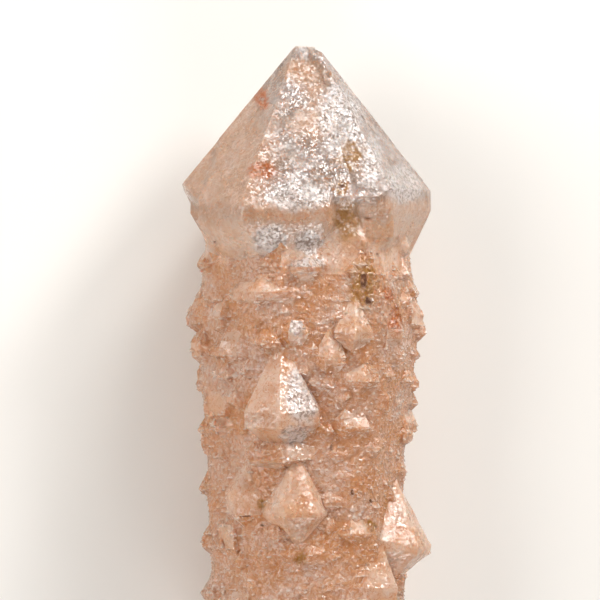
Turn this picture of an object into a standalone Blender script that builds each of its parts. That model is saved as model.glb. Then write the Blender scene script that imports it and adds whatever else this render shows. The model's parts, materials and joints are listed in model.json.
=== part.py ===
"""A double-terminated quartz crystal with a smooth point at each end.

Between the two points the column is covered by parallel-grown smaller crystals. It is one
piece, so it is one solid: every crystal is cut from a block by its own prism and point
faces, and then all of them are joined. It lies on its back, on the prism faces of the two
points.
"""

import math
import random

import bmesh
import bpy
from mathutils import Matrix, Vector

MM = 0.001

# The crystal is modelled as it is seen, +Y up its length, +X to the right and +Z to the
# viewer, and is turned about its length at the end, onto a flat prism face.
# Angles across the length start at +X and grow towards +Z. Sizes are in millimetres, and
# slopes are degrees between a point's face and the length.
LENGTH = 57.0
TURN_TO_LIE = 8.0
FACES = 6
FACE_STEP = 360.0 / FACES
FRONT_FACE = 90.0 - TURN_TO_LIE
POINT_SLOPE = 35.0
REST_DEPTH = 7.85
HEAD_BLOCK = 40.0
SMALL_BLOCK = 4.0

# The upper point's six faces meet in a short ridge, which one more face wears off aslant
UPPER_TIP = LENGTH / 2
UPPER_RIDGE = Vector((-0.1, UPPER_TIP - 0.15, 0.0))
RIDGE_HALF = 0.8
RIDGE_WORN_AT = UPPER_RIDGE + Vector((-0.25, 0.15, 0.0))
RIDGE_WORN_FACES = Vector((0.4, 1.0, 0.0)).normalized()
UPPER_SLOPES = (33.8, 35.4, 35.7, 34.5, 34.5, 34.8)

# The upper head is one body with all six faces and, round its foot, lobes that share them.
# Each is given by the distances of its prism faces from the axis, front face first, then to
# the left and round, the height where they end, the slopes by which the foot runs in below,
# and the growth step by which its point stands proud.
UPPER_LOBES = (
    ((7.75, 7.75, 7.7, REST_DEPTH - 0.12, 7.6, 7.7), 18.3, (33, 33, 33, 33, 33, 33), 0.0),
    ((7.85, 8.9, 5.6, 2.7, 2.4, 4.3), 15.7, (30, 38, 30, 30, 30, 28), 0.05),
    ((6.9, 1.1, 0.6, 1.5, 7.75, 7.85), 16.6, (24, 30, 30, 24, 22, 22), 0.04),
    ((2.0, 4.6, 7.2, REST_DEPTH, 6.4, 2.2), 14.0, (30, 30, 26, 28, 26, 30), 0.03),
    ((2.0, 6.5, 7.9, 6.6, 1.0, 0.0), 16.4, (26, 26, 28, 24, 28, 28), 0.02),
    ((2.0, 0.0, 1.0, 6.9, 7.7, 5.6), 15.6, (26, 26, 26, 24, 25, 25), 0.07),
)

# The left lobe is cut off by one slanting face below its corner
SHOULDER_DISTANCES = (5.2, 8.9, 8.3, 4.0, 0.5, 0.5)
SHOULDER_STEP = 0.03
SHOULDER_CORNER = Vector((-9.07, 18.35, 0.0))
SHOULDER_FACES = Vector((-0.84, -0.53, 0.1)).normalized()
SHOULDER_FOOT = Vector((0.0, 14.5, 0.0))

# A thin growth layer stands proud along the right edge of the point
LEDGE_STEPS = (-0.4, -0.4, -0.4, -0.4, 0.17, 0.02)
LEDGE_TOP = Vector((0.0, 22.7, 0.0))
LEDGE_TOP_FACES = Vector((0.35, 1.0, 0.0)).normalized()
LEDGE_FOOT = Vector((0.0, 18.75, 0.0))
LEDGE_LEFT = Vector((3.0, 0.0, 0.0))

# The lower point: each face's slope and how far it stands out from the tip. Its lobes are
# given as the upper ones are.
LOWER_TIP = Vector((0.2, -LENGTH / 2, -0.4))
LOWER_FACES = ((34.0, 0.1), (35.5, 0.7), (35.0, 0.1), (36.0, 0.8), (35.0, 0.1), (34.5, 0.6))
LOWER_LOBES = (
    ((6.7, 6.9, 7.0, REST_DEPTH - 0.1, 7.0, 6.8), -17.2, (28, 28, 28, 26, 28, 28), 0.0),
    ((7.2, 7.0, 2.2, 0.8, 1.6, 5.2), -17.9, (26, 24, 30, 30, 30, 28), 0.05),
    ((1.5, 5.2, 7.3, REST_DEPTH, 5.6, 1.8), -14.8, (30, 26, 24, 26, 26, 30), 0.03),
    ((4.6, 0.2, -0.4, 4.6, 7.5, 7.4), -16.4, (26, 30, 30, 26, 24, 24), 0.06),
)

# The column that the small crystals grow on: at heights down its length, how far its
# corners reach from its axis, and how far the axis stands to the right
COLUMN = (
    (18.6, 6.7, 0.0),
    (15.5, 7.5, -0.1),
    (12.0, 8.1, 0.0),
    (9.0, 8.4, 0.1),
    (5.6, 8.25, 0.0),
    (2.4, 7.85, -0.1),
    (-1.0, 7.55, -0.1),
    (-5.0, 7.45, -0.2),
    (-9.0, 7.4, 0.0),
    (-13.0, 7.3, 0.0),
    (-17.0, 7.2, 0.0),
    (-21.0, 5.6, 0.0),
)
COLUMN_LIFT = 0.22
STEPS_ON_FACE = 4
CORNER_CUT = 0.965
COLUMN_REACH = 6.7

# The rows of middle-sized crystals that cover the column. Ranges are from least to most,
# and what is given in sizes is multiplied by the crystal's own size.
ROW_TOP = 14.0
ROW_BOTTOM = -17.5
ROW_STEP = 1.82
ROW_WANDER = 0.6
CRYSTALS_IN_ROW = 16
PLACE_WANDER = 0.3
TURNS_OVER_AT = -14.0
MIDDLE_SIZE = (1.1, 2.2, 1.5)
MIDDLE_UNEVEN = 0.15
MIDDLE_PROUD = (0.04, 0.19)
MIDDLE_LEAN = (4.0, 12.0)
MIDDLE_SPIN = (-30.0, 30.0)
MIDDLE_BAND = (0.05, 0.35)
MIDDLE_POINT = (0.9, 1.25)
MIDDLE_TAIL = (0.6, 0.9)
CLEAR_OF_LARGER = 0.9
LARGER_RISES = 0.3
SEED = 5

# To the right of the larger crystals the column is flatter: between these angles and
# heights the middle-sized crystals stand out by only this share
PLAIN_ANGLES = (28.0, 78.0)
PLAIN_HEIGHTS = (-16.0, 3.0)
PLAIN_SHARE = 0.4


def across(angle):
    """The direction across the length at this angle in degrees."""
    turn = math.radians(angle)
    return Vector((math.cos(turn), 0.0, math.sin(turn)))


def slice_off(body, point, normal):
    """Cut away what lies beyond the plane, and close the cut."""
    everything = body.verts[:] + body.edges[:] + body.faces[:]
    cut = bmesh.ops.bisect_plane(
        body, geom=everything, dist=1e-6, plane_co=point, plane_no=normal, clear_outer=True)
    rim = [item for item in cut["geom_cut"] if isinstance(item, bmesh.types.BMEdge)]
    if rim:
        bmesh.ops.edgeloop_fill(body, edges=rim)


def crystal(faces, reach):
    """A body bounded by flat faces, each given by a point on it and the way it looks."""
    body = bmesh.new()
    bmesh.ops.create_cube(body, size=2 * reach)
    for point, normal in faces:
        slice_off(body, point, normal)
    bmesh.ops.recalc_face_normals(body, faces=body.faces[:])
    return body


def prism_faces(spin, distances):
    """The side faces, parallel to the length, at their distances from the axis."""
    faces = []
    for side, distance in enumerate(distances):
        outward = across(spin + side * FACE_STEP)
        faces.append((outward * distance, outward))
    return faces


def point_faces(spin, distances, slopes, edges, way):
    """The faces of one point, up (way 1) or down (way -1), from the edges of the band."""
    faces = []
    for side, distance in enumerate(distances):
        outward = across(spin + side * FACE_STEP)
        slope = math.radians(slopes[side])
        normal = outward * math.cos(slope) + Vector((0.0, way * math.sin(slope), 0.0))
        faces.append((outward * distance + Vector((0.0, edges[side], 0.0)), normal))
    return faces


def station(height):
    """The column's corner reach and the shift of its axis at this height."""
    for above, below in zip(COLUMN, COLUMN[1:]):
        if height >= below[0]:
            share = min(1.0, (above[0] - height) / (above[0] - below[0]))
            return (above[1] + (below[1] - above[1]) * share,
                    above[2] + (below[2] - above[2]) * share)
    return COLUMN[-1][1:]


def column_point(height, angle):
    """The point on the column's surface at this height and angle."""
    corner, shift = station(height)
    from_face = (angle - FRONT_FACE + FACE_STEP / 2) % FACE_STEP - FACE_STEP / 2
    flat = corner * math.cos(math.radians(FACE_STEP / 2)) / math.cos(math.radians(from_face))
    reach = min(flat, corner * CORNER_CUT)
    middle = across(FRONT_FACE) * COLUMN_LIFT + Vector((shift, height, 0.0))
    return across(angle) * reach + middle


def column():
    """The six-sided column with worn corners, all but hidden by what grows on it."""
    body = bmesh.new()
    sides = FACES * STEPS_ON_FACE
    rings = []
    for height, *_ in COLUMN:
        angles = [FRONT_FACE + (side + 0.5) * 360.0 / sides for side in range(sides)]
        rings.append([body.verts.new(column_point(height, angle)) for angle in angles])
    for upper, lower in zip(rings, rings[1:]):
        for side in range(sides):
            after = (side + 1) % sides
            body.faces.new((upper[side], upper[after], lower[after], lower[side]))
    body.faces.new(rings[0])
    body.faces.new(rings[-1])
    bmesh.ops.recalc_face_normals(body, faces=body.faces[:])
    return body


def slope_of(length):
    """The slope of a point that is this many times as long as an ordinary one."""
    return math.degrees(math.atan(math.tan(math.radians(POINT_SLOPE)) / length))


def small_crystal(height, angle, size, proud, lean, spin, band, point, tail, way=1, uneven=None):
    """A crystal on the column that leans outward, its tip up (way 1) or down (way -1)."""
    jitter = uneven or [0.0] * (3 * FACES)
    distances = [size * (1.0 + jitter[side]) for side in range(FACES)]
    tops = [size * (band / 2 + jitter[FACES + side]) for side in range(FACES)]
    bottoms = [-size * (band / 2 + jitter[2 * FACES + side]) for side in range(FACES)]
    faces = prism_faces(FRONT_FACE + spin, distances)
    faces += point_faces(FRONT_FACE + spin, distances, [slope_of(point)] * FACES, tops, 1)
    faces += point_faces(FRONT_FACE + spin, distances, [slope_of(tail)] * FACES, bottoms, -1)
    body = crystal(faces, SMALL_BLOCK * size)
    outward = across(angle)
    along = Vector((0.0, 1.0, 0.0))
    tangent = along.cross(outward)
    tilt = Matrix.Rotation(math.radians(way * lean), 4, tangent)
    flip = Matrix.Rotation(math.pi if way < 0 else 0.0, 4, outward)
    middle = column_point(height, angle) + outward * (proud - size)
    bmesh.ops.transform(body, matrix=Matrix.Translation(middle) @ tilt @ flip, verts=body.verts[:])
    return body


def shifted(faces, shifts):
    """The same faces, each moved along the way it looks."""
    return [(point + normal * shift, normal) for (point, normal), shift in zip(faces, shifts)]


def upper_point():
    """The six faces of the upper point, and the one that wears its ridge off."""
    faces = []
    for side, slope in enumerate(UPPER_SLOPES):
        outward = across(FRONT_FACE + side * FACE_STEP)
        lean = math.radians(slope)
        top = UPPER_RIDGE
        if side % 3:
            top = UPPER_RIDGE + Vector((math.copysign(RIDGE_HALF, outward.x), 0.0, 0.0))
        normal = outward * math.cos(lean) + Vector((0.0, math.sin(lean), 0.0))
        faces.append((top, normal))
    faces.append((RIDGE_WORN_AT, RIDGE_WORN_FACES))
    return faces


def lower_point():
    """The faces of the lower point, three of them large and three small."""
    faces = []
    for side, (slope, offset) in enumerate(LOWER_FACES):
        outward = across(FRONT_FACE + side * FACE_STEP)
        lean = math.radians(slope)
        normal = outward * math.cos(lean) - Vector((0.0, math.sin(lean), 0.0))
        faces.append((LOWER_TIP + outward * offset, normal))
    return faces


def head(point, lobes, way):
    """A head of the crystal: lobes that share a point, each with its own foot."""
    bodies = []
    for distances, foot, foot_slopes, step in lobes:
        faces = shifted(point, [step] * len(point)) + prism_faces(FRONT_FACE, distances)
        faces += point_faces(FRONT_FACE, distances, foot_slopes, [foot] * FACES, -way)
        bodies.append(crystal(faces, HEAD_BLOCK))
    return bodies


def left_shoulder():
    """The left lobe of the upper head, cut off aslant below its corner."""
    faces = shifted(upper_point(), [SHOULDER_STEP] * FACES)
    faces += prism_faces(FRONT_FACE, SHOULDER_DISTANCES)
    faces.append((SHOULDER_CORNER, SHOULDER_FACES))
    faces.append((SHOULDER_FOOT, Vector((0.0, -1.0, 0.0))))
    return crystal(faces, HEAD_BLOCK)


def growth_ledge():
    """The thin growth layer along the right edge of the upper point."""
    faces = shifted(upper_point(), LEDGE_STEPS)
    faces.append((LEDGE_TOP, LEDGE_TOP_FACES))
    faces.append((LEDGE_FOOT, Vector((0.0, -1.0, 0.0))))
    faces.append((LEDGE_LEFT, Vector((-1.0, 0.0, 0.0))))
    return crystal(faces, HEAD_BLOCK)


# The larger crystals that are seen from the front, and those on the left and right edges
FRONT_CRYSTALS = (
    # x, height, size, proud, lean, spin, band, point, tail
    (-1.5, 2.0, 2.65, 1.75, 8, -19, 0.4, 1.38, 0.7),
    (-1.6, -0.7, 2.4, 0.6, 4, -24, 0.35, 0.7, 0.45),
    (-0.6, -4.9, 2.1, 1.7, 5, 0, 0.15, 1.45, 0.9),
    (-3.8, -4.2, 1.7, 0.9, 6, 20, 0.9, 1.1, 0.8),
    (-4.3, -6.6, 1.9, 0.4, 4, 8, 0.9, 0.6, 0.8),
    (3.9, -10.6, 2.4, 0.8, 8, -27, 0.5, 1.5, 0.8),
    (-0.3, -14.0, 2.3, 0.8, 8, -10, 0.6, 1.2, 0.8),
    (2.7, 7.8, 1.35, 0.9, 6, -30, 0.4, 1.35, 0.8),
    (4.8, 7.8, 1.3, 0.6, 4, -20, 0.4, 1.0, 0.8),
    (1.4, 6.0, 1.3, 0.65, 6, -12, 0.4, 1.7, 0.8),
    (5.2, 6.2, 1.1, 0.4, 4, -25, 0.4, 0.8, 0.8),
    (3.2, 4.7, 1.2, 0.45, 5, -35, 0.4, 0.9, 0.8),
    (-0.9, 7.8, 1.2, 0.5, 5, -5, 0.4, 0.9, 0.8),
    (-5.8, 6.7, 1.2, 0.45, 5, 10, 0.8, 1.0, 0.8),
    (-3.6, 6.7, 1.1, 0.35, 5, -30, 0.8, 1.0, 0.8),
    (-1.9, 10.7, 2.7, 0.3, 5, 3, 0.2, 0.7, 0.5),
    (-0.2, 12.4, 1.3, 0.7, 4, 0, 0.3, 0.8, 0.8),
    (4.3, 15.3, 2.0, 0.9, 4, -14, 0.5, 0.8, 0.8),
)
EDGE_CRYSTALS = (
    # angle, height, size, proud, lean, spin, band, point, tail
    (12, -7.35, 2.8, 2.2, 8, -4, 0.25, 1.1, 0.8),
    (38, 14.7, 1.8, 0.6, 4, 12, 0.5, 0.9, 0.8),
    (178, 9.0, 1.9, 0.6, 10, 5, 0.3, 1.1, 0.8),
    (182, 7.2, 1.4, 0.5, 10, -5, 0.5, 0.8, 0.8),
    (150, 8.8, 1.7, 0.4, 8, 12, 0.5, 1.1, 0.8),
    (3, 9.0, 1.5, 0.3, 10, 6, 0.5, 1.0, 0.8),
    (0, 0.5, 1.2, 0.35, 10, 0, 0.4, 1.0, 0.7),
    (175, -11.0, 1.6, 0.35, 10, 10, 0.5, 0.9, 0.8),
)


def facing_angle(x, size, proud):
    """The angle on the front of the column at which a crystal is seen at this x."""
    return 90.0 - math.degrees(math.asin(x / (COLUMN_REACH + proud - size)))


def larger_crystals():
    """The larger crystals, each with its own place, size and lean."""
    bodies = []
    places = []
    for x, height, size, proud, *rest in FRONT_CRYSTALS:
        angle = facing_angle(x, size, proud)
        bodies.append(small_crystal(height, angle, size, proud, *rest))
        places.append((angle, height, size))
    for angle, height, size, proud, *rest in EDGE_CRYSTALS:
        bodies.append(small_crystal(height, angle, size, proud, *rest))
        places.append((angle, height, size))
    return bodies, places


def stands_clear(angle, height, places):
    """Whether a spot on the column lies outside every larger crystal."""
    for other_angle, other_height, size in places:
        around = (angle - other_angle + 180.0) % 360.0 - 180.0
        aside = math.radians(around) * COLUMN_REACH
        above = height - other_height - LARGER_RISES * size
        if math.hypot(aside, above) < CLEAR_OF_LARGER * size:
            return False
    return True


def is_plain(angle, height):
    """Whether a spot lies on the flatter part of the column, right of the larger crystals."""
    around = PLAIN_ANGLES[0] < angle < PLAIN_ANGLES[1]
    return around and PLAIN_HEIGHTS[0] < height < PLAIN_HEIGHTS[1]


def middle_crystals(places):
    """Rows of middle-sized crystals around the column, like overlapping tiles."""
    random.seed(SEED)
    bodies = []
    rows = int((ROW_TOP - ROW_BOTTOM) / ROW_STEP) + 1
    for row in range(rows):
        for place in range(CRYSTALS_IN_ROW):
            height = ROW_TOP - row * ROW_STEP + random.uniform(-ROW_WANDER, ROW_WANDER)
            stagger = 0.5 * (row % 2) + random.uniform(-PLACE_WANDER, PLACE_WANDER)
            angle = (place + stagger) * 360.0 / CRYSTALS_IN_ROW
            size = random.triangular(*MIDDLE_SIZE)
            uneven = [random.uniform(-MIDDLE_UNEVEN, MIDDLE_UNEVEN) for _ in range(3 * FACES)]
            proud = random.uniform(*MIDDLE_PROUD) * size
            if is_plain(angle, height):
                proud *= PLAIN_SHARE
            shape = [random.uniform(*limits) for limits in
                     (MIDDLE_LEAN, MIDDLE_SPIN, MIDDLE_BAND, MIDDLE_POINT, MIDDLE_TAIL)]
            way = 1 if height > TURNS_OVER_AT else -1
            if stands_clear(angle, height, places):
                bodies.append(small_crystal(height, angle, size, proud, *shape, way, uneven))
    return bodies


def as_object(body, name):
    """Give a body its own object in the scene, in metres."""
    bmesh.ops.scale(body, vec=(MM, MM, MM), verts=body.verts[:])
    mesh = bpy.data.meshes.new(name)
    body.to_mesh(mesh)
    body.free()
    item = bpy.data.objects.new(name, mesh)
    bpy.context.scene.collection.objects.link(item)
    return item


def joined(bodies, name):
    """Join the bodies into one solid, turn it onto its back and centre it over the origin."""
    grown = bpy.data.collections.new("grown_crystals")
    base = as_object(bodies[0], name)
    for number, body in enumerate(bodies[1:]):
        grown.objects.link(as_object(body, f"crystal_{number:03d}"))
    union = base.modifiers.new("grown together", "BOOLEAN")
    union.operation = "UNION"
    union.operand_type = "COLLECTION"
    union.collection = grown
    union.solver = "EXACT"
    evaluated = base.evaluated_get(bpy.context.evaluated_depsgraph_get())
    mesh = bpy.data.meshes.new_from_object(evaluated)
    for item in list(grown.objects):
        bpy.data.objects.remove(item)
    base.modifiers.remove(union)
    base.data = mesh
    mesh.transform(Matrix.Rotation(math.radians(-TURN_TO_LIE), 4, "Y"))
    low = [min(v.co[axis] for v in mesh.vertices) for axis in range(3)]
    high = [max(v.co[axis] for v in mesh.vertices) for axis in range(3)]
    to_origin = (-(low[0] + high[0]) / 2, -(low[1] + high[1]) / 2, -low[2])
    mesh.transform(Matrix.Translation(to_origin))
    return base


def quartz():
    """Milky quartz with a thin peach stain of iron."""
    material = bpy.data.materials.new("peach_quartz")
    material.use_nodes = True
    shader = material.node_tree.nodes["Principled BSDF"]
    shader.inputs["Base Color"].default_value = (0.62, 0.38, 0.25, 1.0)
    shader.inputs["Roughness"].default_value = 0.25
    shader.inputs["Metallic"].default_value = 0.0
    shader.inputs["IOR"].default_value = 1.544
    shader.inputs["Transmission Weight"].default_value = 0.5
    return material


def main():
    """Build the crystal."""
    for item in list(bpy.data.objects):
        bpy.data.objects.remove(item)
    larger, places = larger_crystals()
    bodies = [column()] + head(upper_point(), UPPER_LOBES, 1) + [growth_ledge(), left_shoulder()]
    bodies += head(lower_point(), LOWER_LOBES, -1) + larger + middle_crystals(places)
    stone = joined(bodies, "quartz_crystal")
    stone.data.materials.clear()
    stone.data.materials.append(quartz())


if __name__ == "__main__":
    main()
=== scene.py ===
"""The looks of a double-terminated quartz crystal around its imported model.

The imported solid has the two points, the column and the larger and middle-sized crystals on
it. Here its smooth faces get low growth mounds and its column gets a crust of fine crystals,
all joined into one closed piece, and the piece gets the finish of peach-coloured milky quartz.
"""

import json
import math

import bmesh
import bpy
import numpy as np
from bpy.props import FloatProperty, FloatVectorProperty, IntProperty, PointerProperty
from mathutils import Matrix, Vector
from mathutils.bvhtree import BVHTree
from mathutils.noise import noise as perlin
from mathutils.noise import voronoi

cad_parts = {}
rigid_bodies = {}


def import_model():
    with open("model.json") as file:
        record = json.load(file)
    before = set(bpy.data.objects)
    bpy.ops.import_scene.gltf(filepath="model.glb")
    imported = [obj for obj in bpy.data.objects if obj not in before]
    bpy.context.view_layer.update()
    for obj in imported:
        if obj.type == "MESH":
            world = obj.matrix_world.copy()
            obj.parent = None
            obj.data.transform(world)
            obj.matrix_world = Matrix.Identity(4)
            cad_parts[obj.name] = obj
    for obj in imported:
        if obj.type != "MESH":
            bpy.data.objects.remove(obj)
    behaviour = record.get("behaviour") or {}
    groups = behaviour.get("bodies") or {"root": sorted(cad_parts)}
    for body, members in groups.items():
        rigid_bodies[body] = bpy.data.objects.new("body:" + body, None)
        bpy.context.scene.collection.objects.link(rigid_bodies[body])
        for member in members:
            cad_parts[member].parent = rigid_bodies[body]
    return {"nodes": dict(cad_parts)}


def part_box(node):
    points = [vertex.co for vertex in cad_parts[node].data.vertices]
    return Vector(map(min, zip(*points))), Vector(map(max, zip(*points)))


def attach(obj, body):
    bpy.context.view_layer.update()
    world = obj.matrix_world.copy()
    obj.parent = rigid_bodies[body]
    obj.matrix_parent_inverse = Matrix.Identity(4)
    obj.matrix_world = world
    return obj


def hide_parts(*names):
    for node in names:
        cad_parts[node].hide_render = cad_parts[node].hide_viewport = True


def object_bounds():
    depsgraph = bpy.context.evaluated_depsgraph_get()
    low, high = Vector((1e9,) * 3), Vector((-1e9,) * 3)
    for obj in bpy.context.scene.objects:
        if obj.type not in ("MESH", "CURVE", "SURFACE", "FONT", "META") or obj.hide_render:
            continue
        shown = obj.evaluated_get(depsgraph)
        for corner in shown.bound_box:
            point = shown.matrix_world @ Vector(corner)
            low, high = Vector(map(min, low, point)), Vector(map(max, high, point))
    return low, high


bl_info = {
    "name": "Peach Quartz Crystal",
    "version": (1, 0, 0),
    "blender": (4, 5, 0),
    "location": "View3D > Sidebar > Quartz",
    "description": "Grows the crust of a doubly pointed quartz crystal and lights it in a small studio",
    "category": "Add Mesh",
}

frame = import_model()
cad_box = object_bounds()

NODE = "quartz_crystal"
MM = 0.001

# The photograph: one of its pixels at the crystal's depth, which is chosen so that the
# crystal has the usual size of its kind, the pixel where the length's axis meets the upper
# tip, and how far the crystal is turned about its length from the side that the camera sees
# to the face that it lies on
PIXEL = 0.072 * MM
AXIS_PIXEL = 309.0
TIP_PIXEL = 46.0
PICTURE_MIDDLE = 300.0
PICTURE_SIDE = 600.0
TURN = math.radians(8.0)
AXIS_X = 0.17 * MM
AXIS_HEIGHT = 7.85 * MM
TIP_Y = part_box(NODE)[1].y


def linear(hex_colour):
    """An sRGB hex colour as linear red, green and blue."""
    channels = [int(hex_colour[place:place + 2], 16) / 255 for place in (1, 3, 5)]
    return tuple(c / 12.92 if c <= 0.04045 else ((c + 0.055) / 1.055) ** 2.4 for c in channels)


def from_seen(right, along, towards):
    """A direction of the photograph's view (right, up the length, to the viewer) in the frame."""
    return Vector((right * math.cos(TURN) - towards * math.sin(TURN), along,
                   right * math.sin(TURN) + towards * math.cos(TURN)))


def seen_place(across, down, towards=0.0):
    """The point of the frame behind this pixel of the photograph, at a height off the axis."""
    point = from_seen((across - AXIS_PIXEL) * PIXEL, 0.0, towards)
    return point + Vector((AXIS_X, TIP_Y - (down - TIP_PIXEL) * PIXEL, AXIS_HEIGHT))


class CrustSettings(bpy.types.PropertyGroup):
    """The crust of small crystals on the column."""
    scale: FloatProperty(
        name="Scales", description="Mean half width of the overlapping crystals of the crust",
        default=0.25 * MM, precision=5, unit="LENGTH")
    grain: FloatProperty(
        name="Grains", description="Mean half width of the sugary fine crystals",
        default=0.17 * MM, precision=5, unit="LENGTH")
    spacing: FloatProperty(
        name="Spacing", description="Distance between crystals, in their own half widths",
        default=1.7, min=0.5)
    proud: FloatProperty(
        name="Relief", description="How far a crystal stands out, in its own half widths",
        default=0.28, min=0.0)
    seed: IntProperty(name="Seed", description="Which random crust is grown", default=11)


class FaceSettings(bpy.types.PropertyGroup):
    """The relief of the smooth faces."""
    mound: FloatProperty(
        name="Mounds", description="Distance between the low growth mounds on a face",
        default=1.1 * MM, precision=5, unit="LENGTH")
    depth: FloatProperty(
        name="Depth", description="How far the hollows between the mounds go down",
        default=0.035 * MM, precision=5, unit="LENGTH")
    finest: FloatProperty(
        name="Finest", description="Longest edge that the smooth faces are divided into",
        default=0.55 * MM, precision=5, unit="LENGTH")
    edge_wear: FloatProperty(
        name="Edge wear", description="How wide the worn edges of the points are",
        default=0.07 * MM, precision=5, unit="LENGTH")


class QuartzSettings(bpy.types.PropertyGroup):
    """The finish of the quartz."""
    peach: FloatVectorProperty(
        name="Peach", description="Colour that a little iron gives the column",
        subtype="COLOR", default=linear("#e6af80"))
    # The deep peach also serves as painted shade in the hollows of the crust.
    deep: FloatVectorProperty(
        name="Deep peach", description="Colour of the hollows between the small crystals",
        subtype="COLOR", default=linear("#cd8850"))
    # The milk also serves as a painted highlight on the crust's raised tips and on thin edges.
    pale: FloatVectorProperty(
        name="Milk", description="Colour of the milky crystal tips",
        subtype="COLOR", default=linear("#f3e2d4"))
    beige: FloatVectorProperty(
        name="Beige", description="Colour of the smooth points",
        subtype="COLOR", default=linear("#9b897d"))
    frost: FloatVectorProperty(
        name="Frost", description="Colour of the palest parts of the points",
        subtype="COLOR", default=linear("#b3a7a1"))
    rust: FloatVectorProperty(
        name="Rust", description="Colour of the red iron stains",
        subtype="COLOR", default=linear("#ba6210"))
    ochre: FloatVectorProperty(
        name="Ochre", description="Colour of the yellow iron stains",
        subtype="COLOR", default=linear("#a8741a"))
    umber: FloatVectorProperty(
        name="Umber", description="Colour of the dark iron specks",
        subtype="COLOR", default=linear("#63350f"))


class StudioSettings(bpy.types.PropertyGroup):
    """The floor and the lights."""
    floor: FloatVectorProperty(
        name="Floor", description="Colour of the floor", subtype="COLOR",
        default=linear("#e0dcd6"))
    key: FloatProperty(
        name="Key light", description="Power of the softbox beyond the upper point",
        default=0.85, unit="POWER")
    side: FloatProperty(
        name="Side light", description="Power of the small softbox to the right of the key",
        default=0.9, unit="POWER")
    fill: FloatProperty(
        name="Fill light", description="Power of the low light beyond the lower point",
        default=0.6, unit="POWER")
    top: FloatProperty(
        name="Top light", description="Power of the broad light overhead",
        default=2.1, unit="POWER")
    air: FloatProperty(
        name="Room light", description="Strength of the even light all round", default=0.22)


# The shapes, in millimetres and square millimetres

# The solid's mesh: corners closer than this are one, and faces flatter to each other are one
WELD = 2e-4
FLAT_ANGLE = math.radians(0.3)
# Edges longer and sharper than these, between two faces of at least this area, are worn,
# and how round
WORN_LENGTH = 2.0
WORN_AREA = 3.0
WORN_ANGLE = math.radians(20)
WORN_ROUNDNESS = 0.6
# Edges sharper than this are shaded sharp
SHARP_ANGLE = math.radians(28)
# Heights where the two points begin
UPPER_GIRDLE = 13.2
LOWER_GIRDLE = -17.2
# The two kinds of surface, as material indices
CRUST, FACE = 0, 1

# The bare column under the crust: heights down the length, and how far it reaches
COLUMN_HEIGHTS = (-21.0, -17.0, -1.0, 9.0, 18.6)
COLUMN_REACHES = (5.6, 7.2, 7.55, 8.4, 6.7)
COLUMN_FACES = [math.radians(30 + 60 * each) for each in range(6)]
# On the column a face is smooth where it rises this far out of it and is this large, or
# where it is a larger crystal's end facet, which tilts along the length
CRYSTAL_RISE = 0.5
CRYSTAL_AREA = 0.6
FACET_RISE = 0.1
FACET_AREA = 1.4
FACET_TILT = 0.2

# The crust is rounded below this rise, and each point moves by this share of its distance
# from its neighbours. Smooth faces stay where the stone behind them, looked for from this
# far in, is thinner than the wall.
SOFT_RISE = 0.4
SOFTNESS = 0.5
THIN_START = 0.002
THIN_WALL = 0.45

# The cuts that divide the smooth faces: where the first one lies, in shares of the finest
# edge, and how near to a cut a corner counts as on it
FIRST_CUT = 0.37
CUT_WELD = 1e-4
# The small growth mounds on the large ones, in shares of their width and depth
SMALL_MOUND = 0.45
SMALL_DEPTH = 0.4

# The small crystals: how many sides, how long each end is in half widths, how uneven, how
# far they lean outward and how far they are turned about their own length
HABIT = {"sides": (4, 5, 6), "point": (1.1, 1.8), "tail": (0.6, 1.0), "uneven": 0.18,
         "lean": (math.radians(2), math.radians(16)), "spin": (-0.4, 0.4)}
UNEVEN_TURN = 0.1
# Half widths and reliefs from least to most, in shares of their mean
GRAIN_SIZES = (0.7, 1.0, 1.6)
SCALE_SIZES = (0.5, 0.9, 1.8)
RELIEFS = (0.5, 1.5)
# How many places are tried, the share of grains among the scales, and how much prouder
# grains stand
DROPS = 90000
STRAY_GRAINS = 0.25
GRAIN_RISE = 1.5
# Crystals stay this far off the surface below, and faces that are turned at least this far
# towards the lower point have grains alone
FLOOR_GAP = 0.02
UNDERSIDE_TILT = -0.35

# Where the crust is fine and sugary: the middle angle about the length, half the angle
# that it takes up, and the heights that it runs between. Its edges swing by up to this many
# degrees, over about this many millimetres.
SUGAR_SIDES = ((30.0, 34.0, -16.0, 14.0), (172.0, 32.0, -17.0, -3.0), (285.0, 34.0, -15.0, 10.0))
SUGAR_SWING = 9.0
SUGAR_WANDER = 2.5

# Boxes of the photograph's pixels (left, right, top, bottom) where the smooth faces are
# rounded, as on the drop-shaped crystals and the foot of the point, and by how many rounds
SOFT_SPOTS = {(225, 335, 455, 560): 6, (235, 345, 430, 472): 6, (245, 375, 206, 275): 3,
              (176, 246, 190, 275): 9, (374, 440, 192, 260): 7, (380, 440, 480, 580): 2}
# The crevice under the left lobe, as a box of the same kind, and how far it is filled
CREVICE = (188, 250, 219, 258)
FILLING = 1.08
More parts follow.
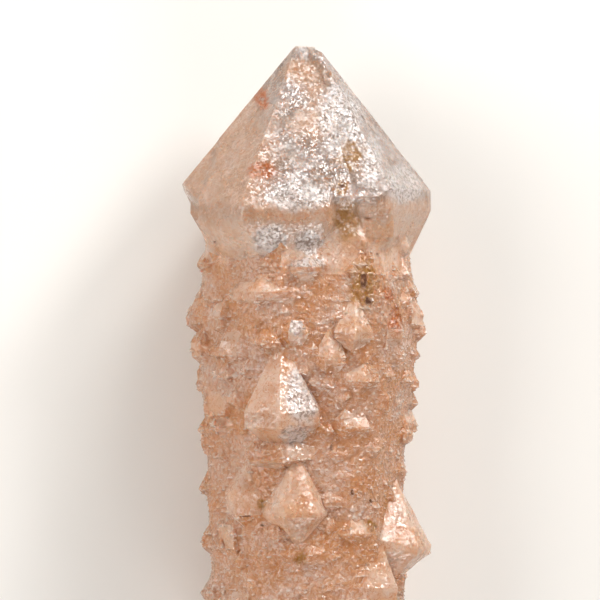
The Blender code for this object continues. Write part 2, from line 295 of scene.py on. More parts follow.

# The finish and the studio, in metres

# Frosted patches, which are also painted with glints, peach washes and iron stains on the side
# that the photograph shows, each given in its pixels: middle and reaches
FROST_GLINT_SPOTS = ((299, 198, 30, 15), (270, 241, 15, 16), (308, 243, 13, 14), (306, 266, 17, 8),
               (303, 392, 16, 30), (296, 432, 15, 10), (296, 326, 9, 9), (372, 165, 10, 30),
               (404, 184, 22, 20), (340, 120, 22, 36), (304, 594, 14, 9))
PEACH_SPOTS = ((222, 160, 50, 90), (300, 215, 60, 14), (400, 216, 45, 20))
RUST_SPOTS = ((262, 99, 7, 10), (262, 172, 14, 8), (388, 296, 6, 9), (394, 320, 6, 14))
OCHRE_SPOTS = ((346, 222, 13, 18), (362, 287, 14, 22), (350, 157, 12, 14), (369, 524, 8, 5),
               (261, 503, 4, 6), (300, 555, 6, 5), (341, 190, 7, 7))
UMBER_SPOTS = ((363, 281, 3, 8), (367, 301, 3, 4), (341, 189, 2.5, 2.5), (352, 490, 2, 3),
               (370, 499, 2, 3), (372, 489, 1, 2), (375, 524, 2, 1), (263, 522, 2, 1),
               (306, 585, 2, 1), (376, 255, 1.5, 1.5), (216, 243, 1.5, 1.5),
               (331, 445, 1.3, 4), (248, 513, 5, 1), (368, 219, 4, 1.2))
# How far the edges of the patches and stains stray, and of the small specks, the size of
# that wander, and the heights off the axis between which they fade in
STRAYING = 1.2 * MM
SPECK_STRAYING = 0.4 * MM
EDGE_WANDER = 0.7 * MM
SEEN_DEPTHS = (-1 * MM, 0.5 * MM)

# The stone: quartz's index of refraction, how much of it is clear, how much of the rest is
# milk, how far each colour of light goes through the milk, and that distance
QUARTZ_IOR = 1.544
CLEAR_SHARE = 0.5
MILK_SHARE = 0.9
MILK_COLOUR_REACH = (1.0, 0.8, 0.65)
MILK_REACH = 0.35 * MM
# How rough dirt is, how wide an edge is rubbed and painted pale as a highlight, and the frosted
# patches' colours between their painted glints and on them
DIRT_ROUGHNESS = 0.85
RUBBED_EDGE_HIGHLIGHT_REACH = 0.2 * MM
FROST_SHADE = linear("#a3978f")
FROST_PAINTED_GLINT = linear("#eee6e1")
# Widths of the patterns. The real growth facets and glints are finer than the picture can
# show, so the finest here are two or three of its pixels wide, and are seen.
FINE_FACET = 0.15 * MM
CRUST_FACET = 0.16 * MM
COARSE_FACET = 0.6 * MM
GLINT = 0.22 * MM
SUGAR_GRAIN = 0.34 * MM
RIDGE = 0.6 * MM
# Growth lines: the distance between them and how strong they are, dark ones and pale ones
DARK_LINES = (0.5 * MM, 0.6)
PALE_LINES = (0.8 * MM, 0.3)
# Heights between which the column's finish turns into each point's
UPPER_BLEND = (13.0 * MM, 18.0 * MM)
LOWER_BLEND = (-16.0 * MM, -20.0 * MM)

# The place on the length that is lit, and each softbox's direction in the photograph's
# view, its distance and its width
LIT_Y = 4 * MM
SOFTBOXES = {"key": ((0.35, 0.88, 0.33), 0.35, 0.12), "side": ((0.66, 0.6, 0.44), 0.35, 0.11),
             "fill": ((0.2, -0.9, 0.39), 0.35, 0.16), "top": ((-1.1, 0.15, 1.0), 0.5, 0.35)}
FLOOR_SIDE = 4.0
# The camera: its distance, the nearest that it sees, and its sensor in millimetres
CAMERA_DISTANCE = 0.45
CAMERA_NEAREST = 0.01
SENSOR = 36.0


def closed_body(node, faces):
    """The node's solid in millimetres, its edges worn and its smooth faces hammered."""
    body = bmesh.new()
    body.from_mesh(node.data)
    bmesh.ops.scale(body, vec=(1 / MM,) * 3, verts=body.verts)
    bmesh.ops.remove_doubles(body, verts=body.verts, dist=WELD)
    fill_crevice(body)
    bmesh.ops.dissolve_limit(
        body, angle_limit=FLAT_ANGLE, use_dissolve_boundaries=False,
        verts=body.verts, edges=body.edges)
    for face in body.faces:
        face.material_index = FACE if is_bare(face) else CRUST
    bmesh.ops.triangulate(
        body, faces=[face for face in body.faces if face.material_index == CRUST])
    soften(body, [vertex for vertex in body.verts if off_column(vertex.co) < SOFT_RISE
                  and all(face.material_index == CRUST for face in vertex.link_faces)], 1)
    worn = [edge for edge in body.edges
            if edge.is_convex and edge.calc_length() > WORN_LENGTH
            and edge.calc_face_angle() > WORN_ANGLE
            and all(face.calc_area() > WORN_AREA for face in edge.link_faces)
            and not any(is_seen_in((edge.verts[0].co + edge.verts[1].co) / 2, *spot)
                        for spot in SOFT_SPOTS)]
    bmesh.ops.bevel(
        body, geom=worn, offset=faces.edge_wear / MM, segments=2, profile=WORN_ROUNDNESS,
        affect="EDGES", clamp_overlap=True, loop_slide=False, material=-1)
    hammer(body, faces.finest / MM, faces.mound / MM, faces.depth / MM)
    if any(len(edge.link_faces) != 2 for edge in body.edges):
        raise RuntimeError("the worn body isn't closed")
    mesh = bpy.data.meshes.new("grown_body")
    body.to_mesh(mesh)
    body.free()
    return mesh


def fill_crevice(body):
    """Grow over the narrow crevice under the left lobe of the upper point."""
    corners = [vertex.co for vertex in body.verts if is_seen_in(vertex.co, *CREVICE)]
    middle = sum(corners, Vector()) / len(corners)
    hull = bmesh.new()
    for corner in corners:
        hull.verts.new(middle + (corner - middle) * FILLING)
    made = bmesh.ops.convex_hull(hull, input=hull.verts)
    bmesh.ops.delete(hull, geom=made["geom_interior"], context="VERTS")
    hull.verts.index_update()
    growth = (np.array([vertex.co for vertex in hull.verts]),
              [[vertex.index for vertex in face.verts] for face in hull.faces])
    hull.free()
    solid = bpy.data.meshes.new("solid")
    body.to_mesh(solid)
    body.clear()
    body.from_mesh(joined(solid, [[growth]], ()))


def is_bare(face):
    """Whether a face of the solid is smooth: on a head, or on one of the larger crystals."""
    place = face.calc_center_median()
    if place.y > UPPER_GIRDLE or place.y < LOWER_GIRDLE:
        return True
    rise, area = off_column(place), face.calc_area()
    on_facet = rise > FACET_RISE and area > FACET_AREA and abs(face.normal.y) > FACET_TILT
    return on_facet or (rise > CRYSTAL_RISE and area > CRYSTAL_AREA)


def off_column(place):
    """How far a place stands out of the bare six-sided column."""
    flat = math.cos(math.pi / 6) * float(np.interp(place.y, COLUMN_HEIGHTS, COLUMN_REACHES))
    return max(place.x * math.cos(turn) + (place.z - AXIS_HEIGHT / MM) * math.sin(turn)
               for turn in COLUMN_FACES) - flat


def is_seen_in(place, left, right, top, bottom):
    """Whether a place shows in this box of the photograph's pixels, on the seen side."""
    off = place * MM - seen_place(AXIS_PIXEL, TIP_PIXEL)
    across = AXIS_PIXEL + off.dot(from_seen(1, 0, 0)) / PIXEL
    down = TIP_PIXEL - off.y / PIXEL
    return left < across < right and top < down < bottom and off.dot(from_seen(0, 0, 1)) > 0


def is_thin(walls, vertex):
    """Whether the stone behind a point is too thin for the point to be moved."""
    start = vertex.co - vertex.normal * THIN_START
    return walls.ray_cast(start, -vertex.normal, THIN_WALL)[0] is not None


def soften(body, points, rounds):
    """Round off the relief at these points a little, each point moving along its normal."""
    for _ in range(rounds):
        body.normal_update()
        moves = []
        for vertex in points:
            around = [edge.other_vert(vertex).co - vertex.co for edge in vertex.link_edges]
            pulls = [1 / max(way.length, WELD) for way in around]
            off = sum((way * pull for way, pull in zip(around, pulls)), Vector()) / sum(pulls)
            moves.append(vertex.normal * off.dot(vertex.normal) * SOFTNESS)
        for vertex, move in zip(points, moves):
            vertex.co += move


def hammer(body, finest, mound, depth):
    """Divide the smooth faces finely and sink the hollows between their growth mounds."""
    for axis in range(3):
        spots = [vertex.co[axis] for vertex in body.verts]
        normal = Vector([float(each == axis) for each in range(3)])
        for place in np.arange(min(spots) + FIRST_CUT * finest, max(spots), finest):
            smooth = [face for face in body.faces if face.material_index == FACE
                      and min(vertex.co[axis] for vertex in face.verts) < place
                      and max(vertex.co[axis] for vertex in face.verts) > place]
            parts = dict.fromkeys(
                part for face in smooth for part in (face, *face.edges, *face.verts))
            bmesh.ops.bisect_plane(
                body, geom=list(parts), dist=CUT_WELD, plane_co=normal * place, plane_no=normal)
    body.normal_update()
    walls = BVHTree.FromBMesh(body)
    inner = [vertex for vertex in body.verts
             if all(face.material_index == FACE for face in vertex.link_faces)
             and not is_thin(walls, vertex)]
    for (left, right, top, bottom), rounds in SOFT_SPOTS.items():
        soften(body, [vertex for vertex in inner if is_seen_in(
            vertex.co, left, right, top, bottom)], rounds)
    body.normal_update()
    for vertex in inner:
        large, small = (voronoi(vertex.co / size)[0][0] for size in (mound, SMALL_MOUND * mound))
        vertex.co -= vertex.normal * depth * (large * large + SMALL_DEPTH * small * small)


class Surface:
    """The flat faces of the body, ready for points to be dropped on them."""

    def __init__(self, mesh):
        mesh.calc_loop_triangles()
        points = np.array([vertex.co for vertex in mesh.vertices])
        corners = np.array([triangle.vertices[:] for triangle in mesh.loop_triangles])
        self.corners = points[corners]
        self.owner = np.array([triangle.polygon_index for triangle in mesh.loop_triangles])
        self.area = np.array([triangle.area for triangle in mesh.loop_triangles])
        self.normal = np.array([polygon.normal for polygon in mesh.polygons])
        self.kind = np.array([polygon.material_index for polygon in mesh.polygons])

    def drop(self, rng, count, kind):
        """Random points on the faces of one kind, even over the area, and their faces."""
        area = np.where(self.kind[self.owner] == kind, self.area, 0.0)
        chosen = rng.choice(len(area), count, p=area / area.sum())
        a, b = rng.random((2, count, 1))
        over = a + b > 1
        a, b = np.where(over, 1 - a, a), np.where(over, 1 - b, b)
        first, second, third = self.corners[chosen].transpose(1, 0, 2)
        return first + a * (second - first) + b * (third - first), self.owner[chosen]


class Cells:
    """Things sorted by place, so that each one's neighbours are found quickly."""

    def __init__(self, size):
        self.size = size
        self.held = {}

    def key(self, place):
        """The cell that a place lies in."""
        return tuple(int(math.floor(c / self.size)) for c in place)

    def add(self, place, thing):
        """Put a thing in the cell of its place."""
        self.held.setdefault(self.key(place), []).append(thing)

    def near(self, place):
        """What lies in the cell of a place and in the cells round it."""
        x, y, z = self.key(place)
        for i in (x - 1, x, x + 1):
            for j in (y - 1, y, y + 1):
                for k in (z - 1, z, z + 1):
                    yield from self.held.get((i, j, k), ())


def spread(places, gaps):
    """Which places are kept, so that no two stand closer than their gaps."""
    cells = Cells(float(np.max(gaps)))
    kept = []
    for number, (place, gap) in enumerate(zip(places.tolist(), gaps.tolist())):
        if all(math.dist(place, other) > (gap + room) / 2 for other, room in cells.near(place)):
            cells.add(place, (place, gap))
            kept.append(number)
    return kept


def bipyramid(rng, sides, half, point, tail, uneven):
    """A crystal along +Y with this many sides: its corners and its triangles."""
    turns = 2 * math.pi * (np.arange(sides) + 0.5 + rng.uniform(-UNEVEN_TURN, UNEVEN_TURN, sides)) / sides
    reach = half / math.cos(math.pi / sides) * (1 + rng.uniform(-uneven, uneven, sides))
    rise = half * rng.uniform(-uneven, uneven, sides)
    ring = np.stack((reach * np.cos(turns), rise, reach * np.sin(turns)), axis=1)
    off = rng.uniform(-uneven, uneven, (2, 2)) * half
    tips = [(off[0, 0], point * half, off[0, 1]), (off[1, 0], -tail * half, off[1, 1])]
    return np.vstack((ring, tips)), cap_triangles(sides)


def cap_triangles(sides):
    """The triangles between a ring of corners and the two tips that follow it."""
    triangles = []
    for side in range(sides):
        after = (side + 1) % sides
        triangles += [(after, side, sides), (side, after, sides + 1)]
    return triangles


def axes_of(radial, lean, spin):
    """The axes of a crystal that grows along the length and leans outward."""
    along = np.array((0.0, 1.0, 0.0)) * math.cos(lean) + radial * math.sin(lean)
    across = np.cross(along, radial)
    across /= np.linalg.norm(across)
    outward = np.cross(across, along)
    wide = across * math.cos(spin) + outward * math.sin(spin)
    return np.stack((wide, along, np.cross(wide, along)))


def crystals(rng, surface, places, faces, halves, proud, shape):
    """Crystals on these places, each standing out of its face by its own height."""
    grown = []
    for place, face, half, height in zip(places, faces, halves, proud):
        corners, triangles = bipyramid(
            rng, int(rng.choice(shape["sides"])), half, rng.uniform(*shape["point"]),
            rng.uniform(*shape["tail"]), shape["uneven"])
        radial = place - np.array((0.0, place[1], AXIS_HEIGHT / MM))
        radial /= np.linalg.norm(radial)
        normal = surface.normal[face]
        corners = corners @ axes_of(radial, rng.uniform(*shape["lean"]), rng.uniform(*shape["spin"]))
        corners += place + normal * (height - (corners @ normal).max())
        grown.append((corners, triangles))
    return grown


def is_sugary(place):
    """Whether the crust is of fine grains at a place."""
    wander = perlin(Vector(place) / SUGAR_WANDER)
    angle = math.degrees(math.atan2(place[2] - AXIS_HEIGHT / MM, place[0])) + SUGAR_SWING * wander
    return any(abs((angle - middle + 180) % 360 - 180) < reach and low < place[1] + wander < high
               for middle, reach, low, high in SUGAR_SIDES)


def in_box(grown, low, high):
    """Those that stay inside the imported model's box and off the surface it lies on."""
    return [item for item in grown
            if (item[0].min(axis=0) >= low).all() and (item[0].max(axis=0) <= high).all()]


def apart(grown):
    """The crystals in groups in which none touches another."""
    middles = [corners.mean(axis=0) for corners, _ in grown]
    radii = [float(np.linalg.norm(corners - middle, axis=1).max())
             for (corners, _), middle in zip(grown, middles)]
    cells = Cells(2.0 * max(radii))
    groups = []
    for number in sorted(range(len(grown)), key=lambda each: -radii[each]):
        place = middles[number].tolist()
        taken = {group for other, radius, group in cells.near(place)
                 if math.dist(place, other) < radius + radii[number]}
        group = next(each for each in range(len(groups) + 1) if each not in taken)
        if group == len(groups):
            groups.append([])
        groups[group].append(grown[number])
        cells.add(place, (place, radii[number], group))
    return groups


def mesh_of(group, name):
    """One mesh of all the crystals of a group, its faces looking outward."""
    body = bmesh.new()
    for corners, triangles in group:
        made = [body.verts.new(corner) for corner in corners]
        for triangle in triangles:
            body.faces.new([made[corner] for corner in triangle]).material_index = CRUST
    bmesh.ops.recalc_face_normals(body, faces=body.faces)
    mesh = bpy.data.meshes.new(name)
    body.to_mesh(mesh)
    body.free()
    return mesh


def joined(mesh, groups, materials):
    """The body with every group of crystals joined to it, as one closed mesh."""
    base = bpy.data.objects.new("growing", mesh)
    crust = bpy.data.collections.new("crust")
    for number, group in enumerate(groups):
        name = f"growth_{number}"
        crust.objects.link(bpy.data.objects.new(name, mesh_of(group, name)))
    for item in [base, *crust.objects]:
        bpy.context.scene.collection.objects.link(item)
        for material in materials:
            item.data.materials.append(material)
    union = base.modifiers.new("grown together", "BOOLEAN")
    union.operation = "UNION"
    union.operand_type = "COLLECTION"
    union.collection = crust
    union.solver = "MANIFOLD"
    evaluated = base.evaluated_get(bpy.context.evaluated_depsgraph_get())
    result = bpy.data.meshes.new_from_object(evaluated)
    for item in [base, *crust.objects]:
        bpy.data.objects.remove(item)
    bpy.data.collections.remove(crust)
    return result


def mark_relief(mesh, body):
    """Give each point its height over the body that the crust grew on, in millimetres."""
    tree = BVHTree.FromPolygons(
        [vertex.co for vertex in body.vertices], [polygon.vertices for polygon in body.polygons])
    heights = [tree.find_nearest(vertex.co)[3] for vertex in mesh.vertices]
    mesh.attributes.new("relief", "FLOAT", "POINT").data.foreach_set("value", heights)


def add(tree, kind, links=None, **settings):
    """Add a node with these settings; links maps its inputs to sockets or plain values."""
    node = tree.nodes.new(kind)
    for name, value in settings.items():
        setattr(node, name, value)
    for name, value in (links or {}).items():
        if isinstance(value, bpy.types.NodeSocket):
            tree.links.new(value, node.inputs[name])
        else:
            node.inputs[name].default_value = value
    return node


def new_material(name):
    """An empty material: its tree and its output node."""
    material = bpy.data.materials.new(name)
    material.use_nodes = True
    tree = material.node_tree
    tree.nodes.clear()
    return material, tree, tree.nodes.new("ShaderNodeOutputMaterial")


def step(tree, value, low, high, least=0.0, most=1.0):
    """A smooth ramp from least at low to most at high."""
    return add(tree, "ShaderNodeMapRange", {
        "Value": value, "From Min": low, "From Max": high, "To Min": least, "To Max": most},
        interpolation_type="SMOOTHSTEP").outputs["Result"]


def tint(tree, share, under, over):
    """One colour laid over another by a share."""
    node = add(tree, "ShaderNodeMix", {"Factor": share}, data_type="RGBA")
    for socket, value in ((node.inputs[6], under), (node.inputs[7], over)):
        if isinstance(value, bpy.types.NodeSocket):
            tree.links.new(value, socket)
        else:
            socket.default_value = (*value[:3], 1.0)
    return node.outputs[2]


def math_of(tree, operation, first, second):
    """What the operation makes of two values."""
    return add(tree, "ShaderNodeMath", {0: first, 1: second}, operation=operation).outputs[0]


def noise(tree, place, size, detail=2.0, stretch=(1.0, 1.0, 1.0)):
    """Clouds whose spots are about this size in metres, drawn out by the stretch."""
    scaled = add(tree, "ShaderNodeVectorMath", {
        0: place, 1: tuple(1 / (size * share) for share in stretch)}, operation="MULTIPLY")
    return add(tree, "ShaderNodeTexNoise", {
        "Vector": scaled.outputs[0], "Scale": 1.0, "Detail": detail}).outputs["Fac"]


def seen_coordinates(tree):
    """Places on the crystal as the photograph sees them: right, up from the tip, to the viewer."""
    where = add(tree, "ShaderNodeTexCoord").outputs["Object"]
    shift = Matrix.Rotation(TURN, 3, "Y") @ Vector((-AXIS_X, -TIP_Y, -AXIS_HEIGHT))
    return where, add(tree, "ShaderNodeMapping", {
        "Vector": where, "Location": shift, "Rotation": (0.0, TURN, 0.0)}).outputs[0]


def spots(tree, seen, places, edge):
    """A mask of uneven spots on the seen side, each given by pixels: middle and reaches."""
    mask = None
    for across, down, reach_across, reach_down in places:
        middle = ((across - AXIS_PIXEL) * PIXEL, -(down - TIP_PIXEL) * PIXEL, 0.0)
        shrink = (1 / (reach_across * PIXEL), 1 / (reach_down * PIXEL), 0.0)
        shifted = add(tree, "ShaderNodeVectorMath", {0: seen, 1: middle}, operation="SUBTRACT")
        scaled = add(tree, "ShaderNodeVectorMath", {0: shifted.outputs[0], 1: shrink},
                     operation="MULTIPLY")
        away = add(tree, "ShaderNodeVectorMath", {0: scaled.outputs[0]}, operation="LENGTH")
        spot = step(tree, away.outputs["Value"], 1 + edge, 1 - edge)
        mask = spot if mask is None else math_of(tree, "MAXIMUM", mask, spot)
    return mask


def on_seen_side(tree, where, seen, places, edge, straying):
    """A mask of spots on the side that the photograph shows, their edges straying this far."""
    wander = add(tree, "ShaderNodeTexNoise", {"Vector": where, "Scale": 1 / EDGE_WANDER, "Detail": 3.0})
    off = add(tree, "ShaderNodeVectorMath", {
        0: wander.outputs["Color"], 1: (0.5, 0.5, 0.5)}, operation="SUBTRACT")
    reach = add(tree, "ShaderNodeVectorMath", {0: off.outputs[0], "Scale": straying}, operation="SCALE")
    uneven = add(tree, "ShaderNodeVectorMath", {0: seen, 1: reach.outputs[0]}, operation="ADD")
    depth = add(tree, "ShaderNodeSeparateXYZ", {0: seen}).outputs["Z"]
    front = step(tree, depth, *SEEN_DEPTHS)
    return math_of(tree, "MULTIPLY", spots(tree, uneven.outputs[0], places, edge), front)


def frosted(tree, colour, where, seen):
    """The colour with the frosted patches of the seen side, of fine dull specks and bright specks that
    are painted glints.
    """
    mask = on_seen_side(tree, where, seen, FROST_GLINT_SPOTS, 0.25, STRAYING)
    # Painted glints: fine bright specks over dull ones on the frosted patches.
    glint_speckle = step(tree, noise(tree, where, GLINT, 2.0), 0.4, 0.56)
    return tint(tree, math_of(tree, "MULTIPLY", mask, 0.8), colour,
                tint(tree, glint_speckle, FROST_SHADE, FROST_PAINTED_GLINT))


def stained(tree, colour, where, seen, colours):
    """The colour with the iron stains of the seen side laid over it, and where dirt lies."""
    mottle = step(tree, noise(tree, where, 0.4 * MM, 3.0), 0.3, 0.5)
    for places, over, edge, straying, share in (
            (OCHRE_SPOTS, colours.ochre, 0.5, STRAYING, 0.8),
            (RUST_SPOTS, colours.rust, 0.4, STRAYING, 0.9),
            (UMBER_SPOTS, colours.umber, 0.3, SPECK_STRAYING, 1.0)):
        mask = on_seen_side(tree, where, seen, places, edge, straying)
        if over is not colours.umber:
            mask = math_of(tree, "MULTIPLY", mask, mottle)
        colour = tint(tree, math_of(tree, "MULTIPLY", mask, share), colour, over)
    return colour, mask


def facets(tree, where, normal, size, tilt):
    """The normal tilted anew in each small cell, as on a face of tiny facets."""
    scaled = add(tree, "ShaderNodeVectorMath", {0: where, 1: (1 / size,) * 3}, operation="MULTIPLY")
    cells = add(tree, "ShaderNodeTexVoronoi", {"Vector": scaled.outputs[0], "Scale": 1.0})
    off = add(tree, "ShaderNodeVectorMath", {
        0: cells.outputs["Color"], 1: (0.5, 0.5, 0.5)}, operation="SUBTRACT")
    lean = add(tree, "ShaderNodeVectorMath", {0: off.outputs[0], "Scale": tilt}, operation="SCALE")
    both = add(tree, "ShaderNodeVectorMath", {0: normal, 1: lean.outputs[0]}, operation="ADD")
    return add(tree, "ShaderNodeVectorMath", {0: both.outputs[0]}, operation="NORMALIZE").outputs[0]


def grown_lines_and_edge_highlights(tree, where, colour, colours):
    """The colour with the fine wavy growth lines, and with its raised edges painted pale, partly as wear
    and partly as a highlight.
    """
    for (size, share), over in ((DARK_LINES, colours.deep), (PALE_LINES, colours.pale)):
        bent = add(tree, "ShaderNodeTexNoise", {
            "Vector": where, "Scale": 1 / size, "Detail": 2.0, "Distortion": 0.6}).outputs["Fac"]
        off = math_of(tree, "ABSOLUTE", math_of(tree, "SUBTRACT", bent, 0.5), 0.0)
        line = step(tree, off, 0.03, 0.008)
        colour = tint(tree, math_of(tree, "MULTIPLY", line, share), colour, over)
    # Thin raised edges turn pale: partly wear, partly a painted highlight along the crests.
    thick = add(tree, "ShaderNodeAmbientOcclusion", {"Distance": RUBBED_EDGE_HIGHLIGHT_REACH}, samples=6,
                inside=True, only_local=True).outputs["AO"]
    edge = step(tree, thick, 0.8, 0.5)
    return tint(tree, math_of(tree, "MULTIPLY", edge, 0.7), colour, colours.pale)


def finish_quartz(tree, output, colour, roughness, dirt, normal):
    """The body of the stone: half clear and half milk, and dull under the dirt."""
    dulled = math_of(tree, "MAXIMUM", roughness, math_of(tree, "MULTIPLY", dirt, DIRT_ROUGHNESS))
    shader = add(tree, "ShaderNodeBsdfPrincipled", {
        "Base Color": colour, "Roughness": dulled, "IOR": QUARTZ_IOR,
        "Transmission Weight": CLEAR_SHARE, "Subsurface Weight": MILK_SHARE,
        "Subsurface Radius": MILK_COLOUR_REACH, "Subsurface Scale": MILK_REACH,
        "Normal": normal})
    tree.links.new(shader.outputs[0], output.inputs["Surface"])


# Milky quartz, grown as a sugary crust. The eye gets glassy pale tips that glint one by one, over
# deeper peach hollows. By their height the hollows are painted with shade and the raised tips
# made paler, partly as milk and partly as a painted highlight.
def sugary_quartz(colours):
    """The crust of small crystals on the column."""
    material, tree, output = new_material("sugary_quartz_crust")
    where, seen = seen_coordinates(tree)
    relief = add(tree, "ShaderNodeAttribute", attribute_name="relief").outputs["Fac"]
    sugar = add(tree, "ShaderNodeTexVoronoi", {"Vector": where, "Scale": 1 / SUGAR_GRAIN})
    gap = step(tree, sugar.outputs["Distance"], 0.35, 0.75)
    cloud = noise(tree, where, 3.0 * MM, 4.0)
    colour = tint(tree, step(tree, cloud, 0.35, 0.7), colours.peach, colours.pale)
    # Painted shade: the hollows between the small crystals are tinted a deeper peach.
    hollow_shade = step(tree, relief, 0.04, 0.0)
    colour = tint(tree, math_of(tree, "MULTIPLY", hollow_shade, 0.4), colour, colours.deep)
    # The raised tips are tinted paler: partly milky stone, partly a painted highlight.
    tip = step(tree, relief, 0.05, 0.16)
    colour = tint(tree, math_of(tree, "MULTIPLY", tip, 0.6), colour, colours.pale)
    colour = tint(tree, math_of(tree, "MULTIPLY", gap, 0.45), colour, colours.deep)
    colour = grown_lines_and_edge_highlights(tree, where, colour, colours)
    colour, dirt = stained(tree, colour, where, seen, colours)
    flat = add(tree, "ShaderNodeNewGeometry").outputs["Normal"]
    ridges = noise(tree, where, RIDGE, 3.0)
    height = math_of(tree, "SUBTRACT", ridges, math_of(tree, "MULTIPLY", gap, 0.5))
    bump = add(tree, "ShaderNodeBump", {
        "Height": height, "Strength": 0.9, "Distance": 0.1 * MM, "Normal": flat})
    normal = facets(tree, where, bump.outputs["Normal"], CRUST_FACET, 0.4)
    rough = step(tree, noise(tree, where, 1.2 * MM), 0.35, 0.65, 0.06, 0.22)
    finish_quartz(tree, output, colour, rough, dirt, normal)
    return material


# Milky quartz, grown as large flat faces. The eye gets a paler and milkier stone on the two
# points, with a broad soft shine that the tiny growth facets break into glints.
def frosted_quartz(colours):
    """The smooth faces of the points and of the larger crystals."""
    material, tree, output = new_material("frosted_quartz_face")
    where, seen = seen_coordinates(tree)
    cloud = step(tree, noise(tree, where, 2.0 * MM, 6.0), 0.4, 0.6)
    point = tint(tree, cloud, colours.beige, colours.frost)
    streaks = step(tree, noise(tree, where, 0.9 * MM, 5.0, (0.6, 1.8, 0.6)), 0.5, 0.62)
    point = tint(tree, math_of(tree, "MULTIPLY", streaks, 0.35), point, colours.pale)
    wash = math_of(tree, "MAXIMUM", spots(tree, seen, PEACH_SPOTS, 0.5),
                   step(tree, noise(tree, where, 7.0 * MM), 0.58, 0.7))
    point = tint(tree, math_of(tree, "MULTIPLY", wash, 0.5), point, colours.peach)
    milk = step(tree, noise(tree, where, 2.0 * MM, 6.0), 0.35, 0.65, 0.2, 0.65)
    column = tint(tree, milk, colours.peach, colours.pale)
    flush = step(tree, noise(tree, where, 1.4 * MM, 4.0), 0.45, 0.7, 0.0, 0.5)
    column = tint(tree, flush, column, colours.deep)
    height = add(tree, "ShaderNodeSeparateXYZ", {0: where}).outputs["Y"]
    upper = step(tree, height, *UPPER_BLEND)
    lower = step(tree, height, *LOWER_BLEND)
    colour = tint(tree, math_of(tree, "MAXIMUM", upper, lower), column, point)
    colour = grown_lines_and_edge_highlights(tree, where, colour, colours)
    # Frosted patches with painted glints.
    colour = frosted(tree, colour, where, seen)
    colour, dirt = stained(tree, colour, where, seen, colours)
    flat = add(tree, "ShaderNodeNewGeometry").outputs["Normal"]
    ripples = noise(tree, where, GLINT, 2.0)
    bump = add(tree, "ShaderNodeBump", {
        "Height": ripples, "Strength": 0.8, "Distance": 0.035 * MM, "Normal": flat})
    coarse = facets(tree, where, bump.outputs["Normal"], COARSE_FACET, 0.18)
    normal = facets(tree, where, coarse, FINE_FACET, 0.36)
    rough = step(tree, noise(tree, where, 2.2 * MM, 3.0), 0.4, 0.62, 0.1, 0.3)
    finish_quartz(tree, output, colour, rough, dirt, normal)
    return material


# Painted card, rolled smooth. The eye gets an even pale ground with soft shadows and no shine.
def matt_board(colour):
    """The board that the crystal lies on."""
    material, tree, output = new_material("matt_board")
    shader = add(tree, "ShaderNodeBsdfPrincipled", {
        "Base Color": (*colour[:3], 1.0), "Roughness": 0.8, "Specular IOR Level": 0.2})
    tree.links.new(shader.outputs[0], output.inputs["Surface"])
    return material


def softbox(name, direction, distance, size, power):
    """A square softbox that looks at the crystal from this direction of the photograph."""
    light = bpy.data.lights.new(name, "AREA")
    light.shape = "SQUARE"
    light.size = size
    light.energy = power
    item = bpy.data.objects.new(name, light)
    bpy.context.scene.collection.objects.link(item)
    away = from_seen(*direction).normalized()
    item.location = Vector((0.0, LIT_Y, AXIS_HEIGHT)) + away * distance
    item.rotation_euler = away.to_track_quat("Z", "Y").to_euler()
    item.visible_camera = False


class QUARTZ_OT_crystal(bpy.types.Operator):
    """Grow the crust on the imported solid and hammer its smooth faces, as one closed piece"""
    bl_idname = "quartz.grow_crystal"
    bl_label = "Grow Crystal"

    def execute(self, context):
        crust = context.scene.quartz_crust
        colours = context.scene.quartz_finish
        rng = np.random.default_rng(crust.seed)
        body = closed_body(frame["nodes"][NODE], context.scene.quartz_faces)
        surface = Surface(body)
        low = np.array(cad_box[0]) / MM + np.array((0.0, 0.0, FLOOR_GAP))
        high = np.array(cad_box[1]) / MM

        places, faces = surface.drop(rng, DROPS, CRUST)
        scale, grain = crust.scale / MM, crust.grain / MM
        under = surface.normal[faces][:, 1] < UNDERSIDE_TILT
        fine = under | np.array([is_sugary(place) for place in places])
        halves = np.where(
            fine | (rng.random(len(places)) < STRAY_GRAINS),
            rng.triangular(*(size * grain for size in GRAIN_SIZES), len(places)),
            rng.triangular(*(size * scale for size in SCALE_SIZES), len(places)))
        kept = spread(places, halves * crust.spacing)
        halves = halves[kept]
        proud = halves * crust.proud * rng.uniform(*RELIEFS, len(kept))
        proud[fine[kept]] *= GRAIN_RISE
        grown = in_box(crystals(rng, surface, places[kept], faces[kept], halves, proud, HABIT),
                       low, high)

        mesh = joined(body.copy(), apart(grown), (sugary_quartz(colours), frosted_quartz(colours)))
        mark_relief(mesh, body)
        mesh.transform(Matrix.Scale(MM, 4))
        mesh.shade_smooth()
        mesh.set_sharp_from_angle(angle=SHARP_ANGLE)
        mesh.name = "crystal"
        crystal = bpy.data.objects.new("crystal", mesh)
        context.scene.collection.objects.link(crystal)
        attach(crystal, "root")
        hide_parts(NODE)
        return {"FINISHED"}


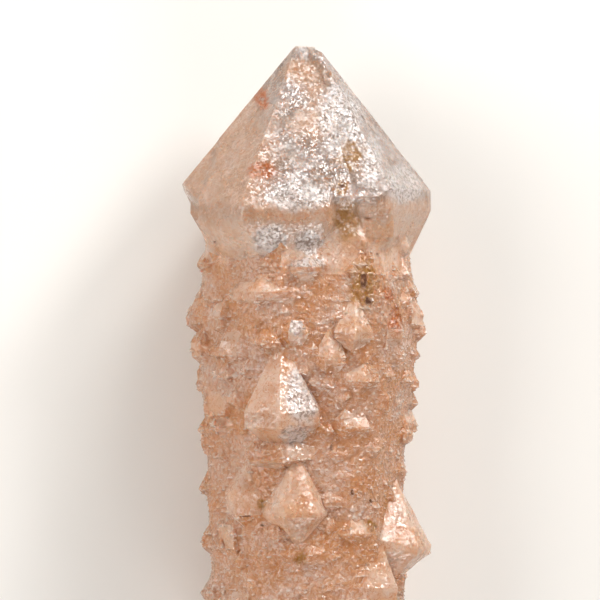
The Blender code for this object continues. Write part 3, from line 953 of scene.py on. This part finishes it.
class QUARTZ_OT_studio(bpy.types.Operator):
    """Set the floor, the lights and the camera"""
    bl_idname = "quartz.set_studio"
    bl_label = "Set Studio"

    def execute(self, context):
        studio = context.scene.quartz_studio
        bpy.ops.mesh.primitive_plane_add(size=FLOOR_SIDE)
        floor = context.active_object
        floor.name = "floor"
        floor.data.materials.append(matt_board(studio.floor))

        for name, (direction, distance, size) in SOFTBOXES.items():
            softbox(name, direction, distance, size, getattr(studio, name))

        world = bpy.data.worlds.new("studio_air")
        world.use_nodes = True
        air = world.node_tree.nodes["Background"]
        air.inputs["Color"].default_value = (1.0, 1.0, 1.0, 1.0)
        air.inputs["Strength"].default_value = studio.air
        context.scene.world = world
        context.scene.view_settings.view_transform = "Standard"

        lens = bpy.data.cameras.new("camera")
        lens.sensor_width = SENSOR
        lens.lens = SENSOR * CAMERA_DISTANCE / (PICTURE_SIDE * PIXEL)
        lens.clip_start = CAMERA_NEAREST
        camera = bpy.data.objects.new("camera", lens)
        context.scene.collection.objects.link(camera)
        right, up, back = from_seen(1, 0, 0), from_seen(0, 1, 0), from_seen(0, 0, 1)
        place = Matrix((right, up, back)).transposed().to_4x4()
        middle = seen_place(PICTURE_MIDDLE, PICTURE_MIDDLE)
        place.translation = middle + back * CAMERA_DISTANCE
        camera.matrix_world = place
        context.scene.camera = camera
        return {"FINISHED"}


class QUARTZ_PT_panel(bpy.types.Panel):
    """The crystal's sizes and colours in the sidebar"""
    bl_idname = "QUARTZ_PT_panel"
    bl_label = "Quartz Crystal"
    bl_space_type = "VIEW_3D"
    bl_region_type = "UI"
    bl_category = "Quartz"

    def draw(self, context):
        scene = context.scene
        for group in (scene.quartz_crust, scene.quartz_faces, scene.quartz_finish,
                      scene.quartz_studio):
            box = self.layout.box()
            for name in group.__annotations__:
                box.prop(group, name)
        self.layout.operator(QUARTZ_OT_crystal.bl_idname)
        self.layout.operator(QUARTZ_OT_studio.bl_idname)


CLASSES = (CrustSettings, FaceSettings, QuartzSettings, StudioSettings,
           QUARTZ_OT_crystal, QUARTZ_OT_studio, QUARTZ_PT_panel)


def register():
    """Add the settings, operators and panel."""
    for item in CLASSES:
        bpy.utils.register_class(item)
    bpy.types.Scene.quartz_crust = PointerProperty(type=CrustSettings)
    bpy.types.Scene.quartz_faces = PointerProperty(type=FaceSettings)
    bpy.types.Scene.quartz_finish = PointerProperty(type=QuartzSettings)
    bpy.types.Scene.quartz_studio = PointerProperty(type=StudioSettings)


def unregister():
    """Take them away again."""
    for name in ("quartz_crust", "quartz_faces", "quartz_finish", "quartz_studio"):
        delattr(bpy.types.Scene, name)
    for item in reversed(CLASSES):
        bpy.utils.unregister_class(item)


def main():
    """Build the scene."""
    register()
    bpy.ops.quartz.set_studio()
    bpy.ops.quartz.grow_crystal()


if __name__ == "__main__":
    main()
